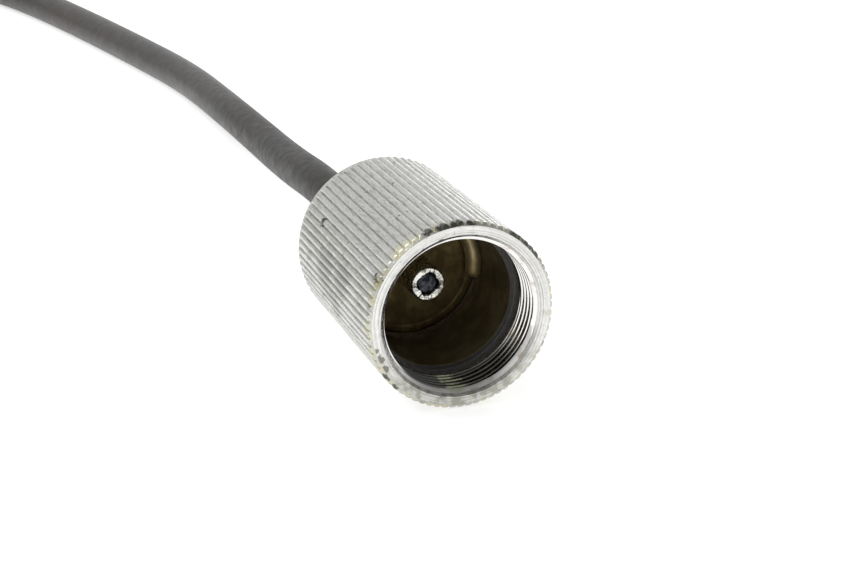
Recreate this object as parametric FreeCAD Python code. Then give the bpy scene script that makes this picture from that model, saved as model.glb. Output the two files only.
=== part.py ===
import FreeCAD, Part
import math
import os

# A cable shutter release: a knurled coupling nut that screws over a camera's release ring,
# a flexible cable, and a thumb plunger with a turning lock.
# Millimetres. The origin is the centre of the nut's mouth, +Y runs into the nut and +Z is up.

# Coupling nut, a bell that turns freely on the cable's end
nut_front_radius = 7.25
nut_rear_radius = 6.95
nut_length = 19.2
nut_front_chamfer = 0.3
nut_front_chamfer_rise = 0.32
nut_rear_band = 0.6
nut_rear_chamfer = 0.2
knurl_teeth = 72
knurl_depth = 0.2
knurl_crest_share = 0.66
knurl_root_share = 0.08
mouth_chamfer = 0.2
mouth_chamfer_rise = 0.22
thread_major_radius = 6.05
thread_minor_radius = 5.75
thread_pitch = 0.6
thread_ridges = 5
thread_crest_width = 0.14
thread_root_width = 0.08
relief_radius = 5.75
relief_width = 1.01
chamber_radius = 5.4
nut_rear_wall = 5.9

# Cable end fitting, held in the nut by a wire ring
flange_radius = 5.05
flange_thickness = 1.1
flange_edge_chamfer = 0.35
washer_thickness = 0.5
washer_radius = 4.9
neck_radius = 3.3
neck_stand_out = 0.8
ring_wire_radius = 0.65
ring_centre_radius = 4.97
ring_first_degrees = -6.0
ring_span_degrees = 205.0
nose_radius = 1.37
nose_bore_radius = 0.85
nose_length = 4.25
nose_tail = 6.0
nose_lip = 0.12
pin_setback = 0.3
pin_solid_tip = 1.1
pin_length = 9.5

# Fits
running_gap = 0.05
seat_gap = 0.02
face_gap = 0.05
socket_gap = 0.03

# Cable: vinyl sheath over a wound steel conduit with the release wire inside
sheath_radius = 1.74
sheath_wall = 0.54
conduit_radius = 1.1
conduit_wall = 0.5
wire_radius = 0.45
wire_end_gap = 0.3
nut_sleeve_length = 7.5
nut_sleeve_radius = 2.75
nut_sleeve_tip_radius = 2.15
nut_sleeve_straight = 3.0
sleeve_spigot_length = 1.2
sleeve_spigot_radius = 2.3

# Coil of the length that is put away
coil_centre = (-34.0, 150.6)
coil_radius = 19.2
coil_start_degrees = 28.0
coil_layer_gap = 0.45
coil_first_climb_turn = 180.0
coil_first_climb_lead = 20.0
coil_quarter = 90.0

# Hand end. Its lengths run along its own axis, from the barrel's cable end towards the thumb button.
handle_straight_in = 5.0
stroke = 7.5
barrel_radius = 4.5
barrel_wall = 0.9
barrel_length = 36.0
barrel_groove_depth = 0.3
barrel_groove_width = 0.8
barrel_groove_count = 5
barrel_groove_pitch = 2.4
barrel_groove_first = 9.0
cap_thickness = 1.5
cap_spigot_length = 5.0
cap_sheath_depth = 4.0
strain_relief_length = 12.5
strain_relief_radius = 3.3
strain_relief_tip_radius = 2.2
strain_relief_ribs = 4
strain_relief_rib_depth = 0.3
seat_thickness = 0.8
seat_bore_radius = 1.3
spring_wire_radius = 0.25
spring_mean_radius = 2.7
spring_turns = 7
spring_length = 14.2
collar_ring_thickness = 2.4
collar_ring_gap = 0.15
bush_shoulder = 1.5
bush_neck_radius = 4.0
bush_neck_length = 8.0
bush_neck_chamfer = 0.4
flange_plate_radius = 8.5
flange_plate_thickness = 2.0
flange_edge_round = 0.6
flange_hub_radius = 5.7
flange_hub_length = 7.0
flange_hub_chamfer = 0.4
lock_collar_radius = 6.1
lock_collar_length = 6.0
lock_collar_teeth = 40
lock_collar_tooth_depth = 0.25
lock_collar_chamfer = 0.45
lock_ball_radius = 1.0
lock_ball_travel = 0.25
circlip_thickness = 0.5
circlip_radius = 4.9
circlip_groove_depth = 0.4
circlip_gap_width = 3.0
rod_radius = 2.0
rod_tail_radius = 1.0
rod_tail_length = 6.5
rod_bore_past_wire = 1.0
button_radius = 5.6
button_thickness = 4.2
button_dish_depth = 0.7
button_edge_round = 0.8
button_clearance = 1.5
button_boss_wall = 1.2
screw_head_radius = 1.5
screw_head_depth = 0.8
screw_shank_radius = 0.8
screw_shank_length = 5.0
screw_slot_width = 0.35
screw_slot_depth = 0.4
grub_radius = 0.8
grub_hex_radius = 0.4
grub_hex_depth = 0.5
grub_set_back = 0.1
grub_pocket_depth = 0.6

# Places along the nut's axis
nut_band_radius = nut_rear_radius - knurl_depth - seat_gap
knurl_end = nut_length - nut_rear_band
thread_start = mouth_chamfer
thread_end = thread_start + thread_ridges * thread_pitch
relief_end = thread_end + relief_width
shoulder = nut_length - nut_rear_wall
washer_front = shoulder - face_gap - washer_thickness
flange_front = washer_front - face_gap - flange_thickness
neck_end = nut_length + neck_stand_out
nose_front = flange_front - nose_length
nose_end = flange_front + nose_tail
pin_tip = nose_front + pin_setback
pin_end = pin_tip + pin_length
nut_wire_end = pin_end - stroke - wire_end_gap
conduit_start = nose_end + face_gap
sheath_start = neck_end - sleeve_spigot_length + face_gap
sleeve_end = neck_end + nut_sleeve_length
nut_bore_radius = neck_radius + running_gap
ring_y = flange_front - ring_wire_radius - face_gap

# Heights, with the nut's front rim and the finger flange on the floor
floor = -nut_front_radius
cable_on_floor = floor + sheath_radius
cable_on_coil = cable_on_floor + 2 * sheath_radius + coil_layer_gap
handle_height = floor + flange_plate_radius

# Places along the handle's axis
cap_front = cap_spigot_length
seat_front = cap_front + seat_thickness
spring_front = seat_front + spring_length
collar_front = spring_front + collar_ring_thickness
bush_start = collar_front + face_gap
bush_shoulder_end = barrel_length + bush_shoulder
bush_end = bush_shoulder_end + bush_neck_length
lock_collar_start = bush_shoulder_end + face_gap
lock_collar_end = lock_collar_start + lock_collar_length
circlip_start = lock_collar_end + face_gap
lock_ball_place = lock_collar_start + lock_collar_length / 2
button_under = bush_end + stroke + button_clearance
button_top = button_under + button_thickness
rod_tail_end = spring_front - rod_tail_length
handle_wire_end = rod_tail_end + stroke
rod_bore_end = handle_wire_end + stroke + rod_bore_past_wire
barrel_bore_radius = barrel_radius - barrel_wall
relief_end_place = -cap_thickness - strain_relief_length

# The handle lies beside the coil, where the cable leaves it, with its button towards the nut's side
handle_x = coil_centre[0] - coil_radius
handle_y = coil_centre[1] - handle_straight_in + relief_end_place
coil_end_degrees = 540.0


def vector(x, y, z=0.0):
    return FreeCAD.Vector(x, y, z)


Y_AXIS = vector(0, 1)
ORIGIN = vector(0, 0)


def turned(profile):
    """A solid turned about the Y axis from points (radius, y)."""
    points = [vector(r, y) for r, y in profile]
    outline = Part.makePolygon(points + points[:1])
    return Part.Face(outline).revolve(ORIGIN, Y_AXIS, 360)


def rod(radius, start, end):
    return Part.makeCylinder(radius, end - start, vector(0, start), Y_AXIS)


def tube(outer, inner, start, end):
    return rod(outer, start, end).cut(rod(inner, start - 1, end + 1))


def toothed_wire(radius, depth, teeth, y):
    """A ring of straight knurl teeth at one height: a flat crest and a narrow root in each pitch."""
    pitch = 2 * math.pi / teeth
    crest = knurl_crest_share * pitch / 2
    root = knurl_root_share * pitch / 2
    places = (
        (-crest, radius),
        (crest, radius),
        (pitch / 2 - root, radius - depth),
        (pitch / 2 + root, radius - depth),
    )
    points = [
        vector(r * math.cos(k * pitch + a), y, r * math.sin(k * pitch + a))
        for k in range(teeth)
        for a, r in places
    ]
    return Part.makePolygon(points + points[:1])


def knurled(front_radius, rear_radius, start, end, teeth, depth):
    wires = [
        toothed_wire(front_radius, depth, teeth, start),
        toothed_wire(rear_radius, depth, teeth, end),
    ]
    return Part.makeLoft(wires, True, True)


def thread_profile():
    """The nut's thread as ridges in profile, from its mouth inwards."""
    rise = (thread_pitch - thread_crest_width - thread_root_width) / 2
    points = []
    for k in range(thread_ridges):
        y = thread_start + k * thread_pitch
        points += [
            (thread_major_radius, y + thread_root_width / 2),
            (thread_minor_radius, y + thread_root_width / 2 + rise),
            (thread_minor_radius, y + thread_root_width / 2 + rise + thread_crest_width),
            (thread_major_radius, y + thread_pitch - thread_root_width / 2),
        ]
    return points


def coupling_nut():
    """The bell: knurled up to a plain band at its rear, threaded inside its mouth."""
    body = knurled(nut_front_radius, nut_rear_radius, 0, nut_length, knurl_teeth, knurl_depth)
    margin = 1.0
    envelope = turned(
        [
            (0, 0),
            (nut_front_radius - nut_front_chamfer_rise, 0),
            (nut_front_radius, nut_front_chamfer),
            (nut_front_radius + margin, nut_front_chamfer),
            (nut_front_radius + margin, knurl_end + nut_band_radius - nut_front_radius - margin),
            (nut_band_radius, knurl_end),
            (nut_band_radius, nut_length - nut_rear_chamfer),
            (nut_band_radius - nut_rear_chamfer, nut_length),
            (0, nut_length),
        ]
    )
    mouth = [
        (0, -margin),
        (thread_major_radius + mouth_chamfer_rise, -margin),
        (thread_major_radius + mouth_chamfer_rise, 0),
        (thread_major_radius, thread_start),
    ]
    groove_front = ring_y - ring_wire_radius - face_gap
    groove_radius = ring_centre_radius + ring_wire_radius + socket_gap
    chamber = [
        (thread_major_radius, thread_end),
        (relief_radius, thread_end),
        (relief_radius, relief_end),
        (chamber_radius, relief_end),
        (chamber_radius, groove_front),
        (groove_radius, groove_front),
        (groove_radius, flange_front),
        (chamber_radius, flange_front),
        (chamber_radius, shoulder),
        (nut_bore_radius, shoulder),
        (nut_bore_radius, nut_length + margin),
        (0, nut_length + margin),
    ]
    return body.common(envelope).cut(turned(mouth + thread_profile() + chamber))


def end_ferrule():
    """Flange and neck, with the nose tube's bore in front and the sleeve's socket behind."""
    body = turned(
        [
            (0, flange_front),
            (flange_radius - flange_edge_chamfer, flange_front),
            (flange_radius, flange_front + flange_edge_chamfer),
            (flange_radius, flange_front + flange_thickness),
            (neck_radius, flange_front + flange_thickness),
            (neck_radius, neck_end),
            (0, neck_end),
        ]
    )
    nose_bore = rod(nose_radius + seat_gap, flange_front - 1, nose_end + face_gap)
    conduit_bore = rod(conduit_radius + socket_gap, nose_end, neck_end)
    socket = rod(sleeve_spigot_radius + seat_gap, neck_end - sleeve_spigot_length, neck_end + 1)
    return body.cut(nose_bore).cut(conduit_bore).cut(socket)


def friction_washer():
    return tube(washer_radius, neck_radius + running_gap, washer_front, washer_front + washer_thickness)


def retaining_ring():
    """An open ring of round wire in the nut's groove, in front of the flange, with round ends."""
    first = math.radians(ring_first_degrees)
    at = vector(ring_centre_radius * math.cos(first), ring_y, ring_centre_radius * math.sin(first))
    along = vector(-math.sin(first), 0, math.cos(first))
    section = Part.Face(Part.Wire(Part.makeCircle(ring_wire_radius, at, along)))
    ring = section.revolve(ORIGIN, vector(0, -1), ring_span_degrees)
    last = math.radians(ring_first_degrees + ring_span_degrees)
    far = vector(ring_centre_radius * math.cos(last), ring_y, ring_centre_radius * math.sin(last))
    for end in (at, far):
        ring = ring.fuse(Part.makeSphere(ring_wire_radius, end))
    return ring.removeSplitter()


def nose_tube():
    body = turned(
        [
            (nose_bore_radius, nose_front + nose_lip),
            (nose_bore_radius + nose_lip, nose_front),
            (nose_radius - nose_lip, nose_front),
            (nose_radius, nose_front + nose_lip),
            (nose_radius, nose_end),
            (nose_bore_radius, nose_end),
        ]
    )
    return body


def release_pin():
    body = rod(nose_bore_radius - running_gap, pin_tip, pin_end)
    body = body.makeChamfer(nose_lip, [body.Edges[2]])
    return body.cut(rod(wire_radius + running_gap, pin_tip + pin_solid_tip, pin_end + 1))


def nut_sleeve():
    """The crimped sleeve that holds the sheath behind the nut, tapering onto the cable."""
    body = turned(
        [
            (0, neck_end - sleeve_spigot_length + face_gap / 2),
            (sleeve_spigot_radius, neck_end - sleeve_spigot_length + face_gap / 2),
            (sleeve_spigot_radius, neck_end),
            (nut_sleeve_radius, neck_end),
            (nut_sleeve_radius, neck_end + nut_sleeve_straight),
            (nut_sleeve_tip_radius, sleeve_end),
            (0, sleeve_end),
        ]
    )
    return body.cut(rod(sheath_radius + socket_gap, neck_end - sleeve_spigot_length - 1, sleeve_end + 1))


# The cable's free route from the nut to the coil: straight out, down to the floor, along it in slack bends
lead_route = [
    vector(0, 33.5, 0),
    vector(0.9, 47.0, -1.9),
    vector(2.3, 62.5, -3.7),
    vector(3.2, 78.5, -5.1),
    vector(2.9, 93.0, cable_on_floor),
    vector(0.3, 107.0, cable_on_floor),
    vector(-2.6, 121.0, cable_on_floor),
    vector(-6.1, 135.5, cable_on_floor),
    vector(-10.7, 148.2, cable_on_floor),
]
arc_share = 0.45


def coil_point(degrees):
    """A point of the coil's centre line, with its direction there."""
    angle = math.radians(degrees)
    first_climb = coil_end_degrees - 360 + coil_first_climb_lead
    last_climb = coil_start_degrees + 360
    climbs = (
        (first_climb, coil_first_climb_turn, cable_on_floor, cable_on_coil),
        (last_climb, coil_end_degrees - last_climb, cable_on_coil, handle_height),
    )
    height = cable_on_floor
    slope = 0.0
    for start, turn, low, high in climbs:
        share = min(max((degrees - start) / turn, 0.0), 1.0)
        if share > 0:
            height = low + (high - low) * share * share * (3 - 2 * share)
            slope = (high - low) * 6 * share * (1 - share) / math.radians(turn)
    place = vector(
        coil_centre[0] + coil_radius * math.cos(angle),
        coil_centre[1] + coil_radius * math.sin(angle),
        height,
    )
    heading = vector(-coil_radius * math.sin(angle), coil_radius * math.cos(angle), slope)
    return place, heading.normalize()


def arc_edge(start, heading, end):
    """The arc from start, leaving along heading, to end."""
    chord = end - start
    inward = chord - heading * chord.dot(heading)
    if inward.Length < 1e-6 * chord.Length:
        return Part.LineSegment(start, end).toShape()
    inward.normalize()
    radius = chord.dot(chord) / (2 * chord.dot(inward))
    centre = start + inward * radius
    middle = centre + ((start - centre) + (end - centre)).normalize() * radius
    return Part.Arc(start, middle, end).toShape()


def biarc(start, heading, end, last_heading):
    """Two tangent arcs that join two places with their directions."""
    reach = end - start
    both = heading + last_heading
    bend = 2 * (1 - heading.dot(last_heading))
    ahead = reach.dot(both)
    if bend < 1e-9:
        arm = reach.dot(reach) / (2 * ahead)
    else:
        arm = (math.sqrt(ahead * ahead + bend * reach.dot(reach)) - ahead) / bend
    joint = (start + heading * arm + end - last_heading * arm) * 0.5
    middle = (joint - start - heading * arm).normalize()
    return [arc_edge(start, heading, joint), arc_edge(joint, middle, end)]


def lead_edges(start_y):
    """Straight runs and tangent arcs from a place on the nut's axis to the coil."""
    coil_start = coil_point(coil_start_degrees)[0]
    route = [vector(0, sheath_start)] + lead_route + [coil_start]
    runs = [route[k + 1] - route[k] for k in range(len(route) - 1)]
    edges = []
    radii = []
    at = vector(0, start_y)
    for k in range(1, len(route) - 1):
        before = FreeCAD.Vector(runs[k - 1]).normalize()
        after = FreeCAD.Vector(runs[k]).normalize()
        turn = before.getAngle(after)
        arm = arc_share * min(runs[k - 1].Length, runs[k].Length)
        radii.append(arm / math.tan(turn / 2))
        arc_start = route[k] - before * arm
        edges.append(Part.LineSegment(at, arc_start).toShape())
        at = route[k] + after * arm
        edges.append(arc_edge(arc_start, before, at))
    edges.append(Part.LineSegment(at, coil_start).toShape())
    return edges, radii


def coil_edges(handle_place):
    """Biarcs of about a quarter turn, then a straight stretch into the handle."""
    places = [coil_start_degrees]
    while places[-1] + coil_quarter < coil_end_degrees:
        places.append(places[-1] + coil_quarter)
    places.append(coil_end_degrees)
    knots = [coil_point(d) for d in places]
    edges = []
    for (start, heading), (end, last_heading) in zip(knots, knots[1:]):
        edges += biarc(start, heading, end, last_heading)
    last = vector(handle_x, handle_y - handle_place, handle_height)
    edges.append(Part.LineSegment(knots[-1][0], last).toShape())
    return edges


def pipe(edges, radius):
    path = Part.Wire(edges)
    first = edges[0]
    start = first.valueAt(first.FirstParameter)
    heading = first.tangentAt(first.FirstParameter)
    section = Part.Wire(Part.makeCircle(radius, start, heading))
    return path.makePipeShell([section], True, False)


def least_self_gap(edges, radius):
    """The least gap between stretches of one tube that aren't neighbours, on points a millimetre apart."""
    points = Part.Wire(edges).discretize(Distance=1.0)
    apart = int(4 * radius) + 6
    least = min(
        (points[i] - points[j]).Length
        for i in range(len(points))
        for j in range(i + apart, len(points))
    )
    return least - 2 * radius


def cable_pieces():
    """Sheath, conduit and wire, each as a lead and a coil on the same centre line."""
    sheath_bore = sheath_radius - sheath_wall
    conduit_bore = conduit_radius - conduit_wall
    sheath_stop = cap_sheath_depth - cap_thickness - face_gap
    conduit_stop = cap_front - face_gap
    lead, radii = lead_edges(sheath_start)
    coil = coil_edges(sheath_stop)
    whole = lead + coil
    print("lead radii", [round(r, 1) for r in radii])
    print("cable length", round(sum(e.Length for e in whole), 1))
    print("coil least self gap", round(least_self_gap(whole, sheath_radius), 2))
    sheath_lead = pipe(lead, sheath_radius).cut(pipe(lead, sheath_bore))
    sheath_coil = pipe(coil, sheath_radius).cut(pipe(coil, sheath_bore))
    area = math.pi * (sheath_radius**2 - sheath_bore**2)
    for name, shape, edges in (("lead", sheath_lead, lead), ("coil", sheath_coil, coil)):
        length = sum(e.Length for e in edges)
        print(name, "volume over section times length", round(shape.Volume / (area * length), 4))
    conduit = []
    for edges in (lead_edges(conduit_start)[0], coil_edges(conduit_stop)):
        conduit.append(pipe(edges, conduit_radius).cut(pipe(edges, conduit_bore)))
    wires = (lead_edges(nut_wire_end)[0], coil_edges(handle_wire_end))
    return {
        "cable_sheath_lead": sheath_lead,
        "cable_sheath_coil": sheath_coil,
        "wound_conduit": Part.makeCompound(conduit),
        "release_wire": Part.makeCompound([pipe(edges, wire_radius) for edges in wires]),
    }


def strain_relief():
    """A ribbed sleeve, tapering from the barrel's cap onto the cable."""
    length = strain_relief_length
    rib = length / (2 * strain_relief_ribs + 1)
    taper = (strain_relief_tip_radius - strain_relief_radius) / length
    points = [(0, -cap_thickness)]
    for k in range(2 * strain_relief_ribs + 1):
        start = k * rib
        radius = strain_relief_radius + taper * start
        end_radius = strain_relief_radius + taper * (start + rib)
        sunk = strain_relief_rib_depth if k % 2 else 0.0
        points += [(radius - sunk, -cap_thickness - start), (end_radius - sunk, -cap_thickness - start - rib)]
    points.append((0, relief_end_place))
    return turned(points).cut(rod(sheath_radius + socket_gap, relief_end_place - 1, -cap_thickness + 1))


def grub_place(radius, along):
    """A cylinder on the handle's +Z side, for a grub screw or its hole."""
    upwards = vector(0, 0, 1)
    return lambda inner, outer: Part.makeCylinder(radius, outer - inner, vector(0, along, inner), upwards)


def barrel_end_cap():
    body = rod(barrel_radius, -cap_thickness, 0).fuse(rod(barrel_bore_radius - seat_gap, 0, cap_front))
    body = body.cut(rod(sheath_radius + socket_gap, -cap_thickness - 1, cap_sheath_depth - cap_thickness))
    body = body.cut(rod(conduit_radius + socket_gap, -cap_thickness, cap_front + 1))
    hole = grub_place(grub_radius + seat_gap, cap_front / 2)
    return body.removeSplitter().cut(hole(barrel_bore_radius - grub_pocket_depth, barrel_radius + 1))


def handle_barrel():
    body = tube(barrel_radius, barrel_bore_radius, 0, barrel_length)
    for k in range(barrel_groove_count):
        start = barrel_groove_first + k * barrel_groove_pitch
        groove_floor = barrel_radius - barrel_groove_depth
        body = body.cut(tube(barrel_radius + 1, groove_floor, start, start + barrel_groove_width))
    hole = grub_place(grub_radius + seat_gap, cap_front / 2)
    return body.cut(hole(0, barrel_radius + 1))


def grub_screws():
    """One holds the barrel on its cap and one the finger flange on the barrel, each with a hex socket."""
    screws = []
    for along, foot, top in (
        (cap_front / 2, barrel_bore_radius - grub_pocket_depth + face_gap, barrel_radius - grub_set_back),
        (flange_screw_place(), barrel_radius + face_gap, flange_hub_radius - grub_set_back),
    ):
        screw = grub_place(grub_radius, along)(foot, top)
        corners = [
            vector(
                grub_hex_radius * math.cos(math.radians(60 * k)),
                along + grub_hex_radius * math.sin(math.radians(60 * k)),
                top - grub_hex_depth,
            )
            for k in range(7)
        ]
        socket = Part.Face(Part.makePolygon(corners)).extrude(vector(0, 0, 1))
        screws.append(screw.cut(socket))
    return Part.makeCompound(screws)


def flange_start():
    return barrel_length - flange_hub_length


def flange_screw_place():
    return flange_start() + (flange_hub_length - flange_plate_thickness) / 2


def finger_flange():
    """A round plate for two fingers on a hub that fits the barrel's end."""
    plate_start = barrel_length - flange_plate_thickness
    plate = rod(flange_plate_radius, plate_start, barrel_length)
    rims = [e for e in plate.Edges if abs(e.Length - 2 * math.pi * flange_plate_radius) < 0.01]
    plate = plate.makeFillet(flange_edge_round, rims)
    hub = turned(
        [
            (0, flange_start()),
            (flange_hub_radius - flange_hub_chamfer, flange_start()),
            (flange_hub_radius, flange_start() + flange_hub_chamfer),
            (flange_hub_radius, plate_start),
            (flange_hub_radius, plate_start + flange_plate_thickness / 2),
            (0, plate_start + flange_plate_thickness / 2),
        ]
    )
    body = plate.fuse(hub).removeSplitter()
    body = body.cut(rod(barrel_radius + seat_gap, flange_start() - 1, barrel_length + 1))
    hole = grub_place(grub_radius + seat_gap, flange_screw_place())
    return body.cut(hole(0, flange_hub_radius + 1))


def spring_seat():
    return tube(barrel_bore_radius - seat_gap, seat_bore_radius, cap_front, seat_front)


def return_spring():
    """A coil spring of quarter-turn biarcs, its ends closed on the seat and the collar."""
    start = seat_front + spring_wire_radius + face_gap
    end = spring_front - spring_wire_radius - face_gap
    rise = (end - start) / (2 * math.pi * spring_turns)

    def knot(angle):
        place = vector(
            spring_mean_radius * math.cos(angle), start + rise * angle, spring_mean_radius * math.sin(angle)
        )
        heading = vector(-spring_mean_radius * math.sin(angle), rise, spring_mean_radius * math.cos(angle))
        return place, heading.normalize()

    knots = [knot(k * math.pi / 2) for k in range(4 * spring_turns + 1)]
    edges = []
    for (first, heading), (last, last_heading) in zip(knots, knots[1:]):
        edges += biarc(first, heading, last, last_heading)
    return pipe(edges, spring_wire_radius)


def spring_collar():
    """The ring that the spring pushes, pinned on the rod. It stops against the guide bush."""
    return tube(barrel_bore_radius - collar_ring_gap, rod_radius + seat_gap, spring_front, collar_front)


def guide_bush():
    """Fills the barrel's button end, guides the rod and carries the lock collar on its neck."""
    circlip_floor = bush_neck_radius - circlip_groove_depth
    body = turned(
        [
            (0, bush_start),
            (barrel_bore_radius - seat_gap, bush_start),
            (barrel_bore_radius - seat_gap, barrel_length),
            (barrel_radius, barrel_length),
            (barrel_radius, bush_shoulder_end),
            (bush_neck_radius, bush_shoulder_end),
            (bush_neck_radius, circlip_start),
            (circlip_floor, circlip_start),
            (circlip_floor, circlip_start + circlip_thickness + face_gap),
            (bush_neck_radius, circlip_start + circlip_thickness + face_gap),
            (bush_neck_radius, bush_end - bush_neck_chamfer),
            (bush_neck_radius - bush_neck_chamfer, bush_end),
            (0, bush_end),
        ]
    )
    body = body.cut(rod(rod_radius + running_gap, bush_start - 1, bush_end + 1))
    ball_hole = grub_place(lock_ball_radius + running_gap, lock_ball_place)
    return body.cut(ball_hole(0, bush_neck_radius + 1))


def ball_centre():
    """The lock ball's height above the handle's axis at rest, clear of the rod by its travel."""
    return rod_radius + running_gap + lock_ball_travel + lock_ball_radius


def lock_ball():
    return Part.makeSphere(lock_ball_radius, vector(0, lock_ball_place, ball_centre()))


def lock_collar():
    """A knurled collar with an eccentric groove inside, which presses the ball onto the rod."""
    body = knurled(
        lock_collar_radius,
        lock_collar_radius,
        lock_collar_start,
        lock_collar_end,
        lock_collar_teeth,
        lock_collar_tooth_depth,
    )
    envelope = turned(
        [
            (0, lock_collar_start),
            (lock_collar_radius - lock_collar_chamfer, lock_collar_start),
            (lock_collar_radius, lock_collar_start + lock_collar_chamfer),
            (lock_collar_radius, lock_collar_end - lock_collar_chamfer),
            (lock_collar_radius - lock_collar_chamfer, lock_collar_end),
            (0, lock_collar_end),
        ]
    )
    body = body.common(envelope)
    body = body.cut(rod(bush_neck_radius + running_gap, lock_collar_start - 1, lock_collar_end + 1))
    cam_width = 2 * lock_ball_radius + 2 * running_gap
    cam_radius = ball_centre() + lock_ball_radius + running_gap - lock_ball_travel
    cam = Part.makeCylinder(
        cam_radius, cam_width, vector(0, lock_ball_place - cam_width / 2, lock_ball_travel), Y_AXIS
    )
    return body.cut(cam)


def collar_circlip():
    bore = bush_neck_radius - circlip_groove_depth + socket_gap
    start = circlip_start + face_gap / 2
    body = tube(circlip_radius, bore, start, start + circlip_thickness)
    corner = vector(-circlip_gap_width / 2, start - 1, -2 * circlip_radius)
    gap = Part.makeBox(circlip_gap_width, circlip_thickness + 2, 2 * circlip_radius, corner)
    return body.cut(gap)


def plunger_rod():
    """A thin tail that takes the release wire, and a thick rod that carries the button."""
    body = turned(
        [
            (0, rod_tail_end),
            (rod_tail_radius, rod_tail_end),
            (rod_tail_radius, spring_front),
            (rod_radius, spring_front),
            (rod_radius, button_under),
            (0, button_under),
        ]
    )
    body = body.cut(rod(wire_radius + running_gap, rod_tail_end - 1, rod_bore_end))
    screw_hole = rod(screw_shank_radius + seat_gap, screw_start() - face_gap, button_under + 1)
    return body.cut(screw_hole)


def screw_start():
    return button_top - button_dish_depth - screw_head_depth - screw_shank_length


def thumb_button():
    """A round button, dished on top for the thumb, on a short boss."""
    half = button_thickness / 2
    body = turned(
        [
            (0, button_under),
            (rod_radius + button_boss_wall, button_under),
            (rod_radius + button_boss_wall, button_under + half - button_edge_round),
            (button_radius - button_edge_round, button_under + half - button_edge_round),
            (button_radius, button_under + half),
            (button_radius, button_top - button_edge_round),
            (button_radius - button_edge_round, button_top),
            (0, button_top),
        ]
    )
    dish_width = button_radius - 2 * button_edge_round
    dish_radius = (dish_width**2 + button_dish_depth**2) / (2 * button_dish_depth)
    dish = Part.makeSphere(dish_radius, vector(0, button_top + dish_radius - button_dish_depth))
    head_floor = button_top - button_dish_depth - screw_head_depth
    body = body.cut(dish)
    body = body.cut(rod(screw_head_radius + socket_gap, head_floor, button_top + 1))
    return body.cut(rod(screw_shank_radius + socket_gap, button_under - 1, head_floor + 1))


def button_screw():
    head_floor = button_top - button_dish_depth - screw_head_depth
    head_top = head_floor + screw_head_depth
    body = rod(screw_head_radius, head_floor + seat_gap, head_top).fuse(
        rod(screw_shank_radius, screw_start(), head_floor + seat_gap)
    )
    slot = Part.makeBox(
        2 * screw_head_radius + 1, 1, screw_slot_width,
        vector(-screw_head_radius - 0.5, head_top - screw_slot_depth, -screw_slot_width / 2),
    )
    return body.removeSplitter().cut(slot)


def on_handle(shape):
    """Turns a piece round to lie along -Y and puts it at the handle's place."""
    placed = shape.copy()
    placed.rotate(ORIGIN, vector(0, 0, 1), 180)
    placed.translate(vector(handle_x, handle_y, handle_height))
    return placed


camera_end = {
    "coupling_nut": coupling_nut,
    "end_ferrule": end_ferrule,
    "friction_washer": friction_washer,
    "retaining_ring": retaining_ring,
    "nose_tube": nose_tube,
    "release_pin": release_pin,
    "nut_sleeve": nut_sleeve,
}
hand_end = {
    "strain_relief": strain_relief,
    "barrel_end_cap": barrel_end_cap,
    "handle_barrel": handle_barrel,
    "grub_screws": grub_screws,
    "finger_flange": finger_flange,
    "spring_seat": spring_seat,
    "return_spring": return_spring,
    "spring_collar": spring_collar,
    "guide_bush": guide_bush,
    "lock_ball": lock_ball,
    "lock_collar": lock_collar,
    "collar_circlip": collar_circlip,
    "plunger_rod": plunger_rod,
    "thumb_button": thumb_button,
    "button_screw": button_screw,
}

pieces = {name: make() for name, make in camera_end.items()}
pieces.update(cable_pieces())
pieces.update({name: on_handle(make()) for name, make in hand_end.items()})

os.makedirs("parts", exist_ok=True)
for name, shape in pieces.items():
    if not shape.isValid() or shape.Volume <= 0:
        print("fault in", name)
    shape.exportStep(f"parts/{name}.step")
print(len(pieces), "pieces; handle axis at", round(handle_x, 2), round(handle_y, 2), round(handle_height, 2))
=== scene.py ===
import math

import bmesh
import bpy
from mathutils import Matrix, Vector, noise


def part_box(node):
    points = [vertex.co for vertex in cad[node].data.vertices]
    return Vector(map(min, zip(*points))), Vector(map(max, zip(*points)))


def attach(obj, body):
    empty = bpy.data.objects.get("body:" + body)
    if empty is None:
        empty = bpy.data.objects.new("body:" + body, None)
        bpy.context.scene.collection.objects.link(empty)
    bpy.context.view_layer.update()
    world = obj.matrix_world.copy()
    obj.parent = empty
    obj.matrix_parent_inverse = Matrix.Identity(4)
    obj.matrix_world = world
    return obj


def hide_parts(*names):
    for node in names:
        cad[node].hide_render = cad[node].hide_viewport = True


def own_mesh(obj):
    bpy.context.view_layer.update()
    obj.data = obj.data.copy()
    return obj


# A cable shutter release on a pale floor: knurled bell nut in front, cable, and thumb plunger behind.
# Lengths named here are in millimetres, and MM turns them into Blender's metres.
MM = 0.001

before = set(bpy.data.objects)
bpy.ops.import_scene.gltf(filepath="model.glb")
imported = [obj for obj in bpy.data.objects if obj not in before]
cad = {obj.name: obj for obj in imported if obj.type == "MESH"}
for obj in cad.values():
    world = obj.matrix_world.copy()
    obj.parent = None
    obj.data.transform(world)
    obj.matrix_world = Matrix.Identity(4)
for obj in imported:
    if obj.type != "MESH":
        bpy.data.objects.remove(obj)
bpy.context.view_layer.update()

# Sizes of the bell nut and the disc in it, which the frame's boxes don't give
mouth_radius = 6.27
mouth_bevel_depth = 0.2
thread_major = 6.05
thread_minor = 5.75
thread_pitch = 0.6
thread_length = 3.0
relief_radius = 5.75
relief_length = 1.01
chamber_radius = 5.4
ring_groove_radius = 5.65
ring_groove_start = 10.2
flange_front = 11.6
flange_edge_chamfer = 0.35
nut_shoulder = 13.3
nut_bore_radius = 3.35
nut_rear_radius = 6.95
nut_band_length = 0.6
nut_band_radius = 6.73
nut_rear_chamfer = 0.2
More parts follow.
